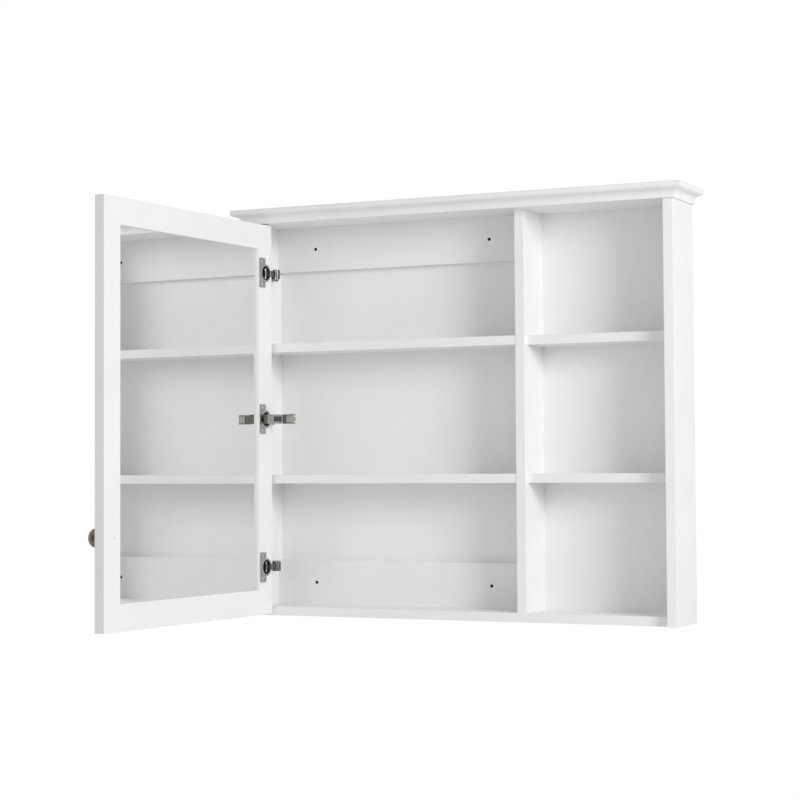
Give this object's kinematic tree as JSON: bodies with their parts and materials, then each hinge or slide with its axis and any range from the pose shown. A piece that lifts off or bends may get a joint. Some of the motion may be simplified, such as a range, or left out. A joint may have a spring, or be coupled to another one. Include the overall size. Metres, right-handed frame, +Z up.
{
  "type": "bathroom wall cabinet with mirror door",
  "caption": "Wall-hung cabinet with a crown, a framed mirror door on concealed hinges over one shelved bay, and an open shelved bay beside it.",
  "frame": {"origin": "middle of the four wall-screw holes, on the face that meets the wall", "axes": "+Z up, +Y into the wall, +X to the right when facing the cabinet"},
  "size_m": [0.796, 0.5701, 0.686],
  "materials": {
    "white_paint": "satin white paint on board",
    "beech": "plain",
    "fibreboard": "raw",
    "mirror": "silvered glass",
    "hinge_steel": "nickel plated",
    "screw_steel": "zinc plated",
    "black_steel": "blackened steel",
    "painted_screw": "white enamel",
    "antique_brass": "antique"
  },
  "bodies": {
    "cabinet": {"left_side": "white_paint", "right_side": "white_paint", "divider": "white_paint", "top_panel": "white_paint", "bottom_panel": "white_paint", "back_panel": "white_paint", "rail_top": "white_paint", "rail_bottom": "white_paint", "cap_board": "white_paint", "crown_front": "white_paint", "crown_left": "white_paint", "crown_right": "white_paint", "shelf_closed_low": "white_paint", "shelf_closed_high": "white_paint", "shelf_open_low": "white_paint", "shelf_open_high": "white_paint", "carcass_dowels": "beech", "back_nails": "screw_steel", "mount_plates": "hinge_steel", "plate_screws": "screw_steel", "hinge_arms": "hinge_steel", "arm_pins": "screw_steel", "arm_clips": "hinge_steel", "arm_blocks": "black_steel"},
    "links": {"hinge_links": "hinge_steel"},
    "door": {"stile_hinge": "white_paint", "stile_free": "white_paint", "door_rail_top": "white_paint", "door_rail_bottom": "white_paint", "frame_dowels": "beech", "mirror_front": "mirror", "mirror_back": "mirror", "mirror_core": "fibreboard", "hinge_cups": "hinge_steel", "cup_pins": "screw_steel", "flange_screws": "screw_steel", "mid_hinge_link": "hinge_steel", "mid_hinge_arm": "hinge_steel", "mid_hinge_pin": "screw_steel", "mid_hinge_clip": "hinge_steel", "mid_hinge_block": "black_steel", "knob": "antique_brass", "knob_base": "antique_brass", "knob_screw": "painted_screw"}
  },
  "joints": [
    {"name": "link_swing", "type": "hinge", "parent": "cabinet", "child": "links", "pos_m": [-0.2046, -0.0826, 0], "axis": [0, 0, 1], "range_deg": [-34.8, 1.1]},
    {"name": "door_swing", "type": "hinge", "parent": "links", "child": "door", "pos_m": [-0.21311, -0.10175, 0], "axis": [0, 0, 1], "range_deg": [-3.7, 127]}
  ],
  "couplings": [
    {"joint": "link_swing", "follows": "door_swing", "ratio": -0.27323}
  ]
}
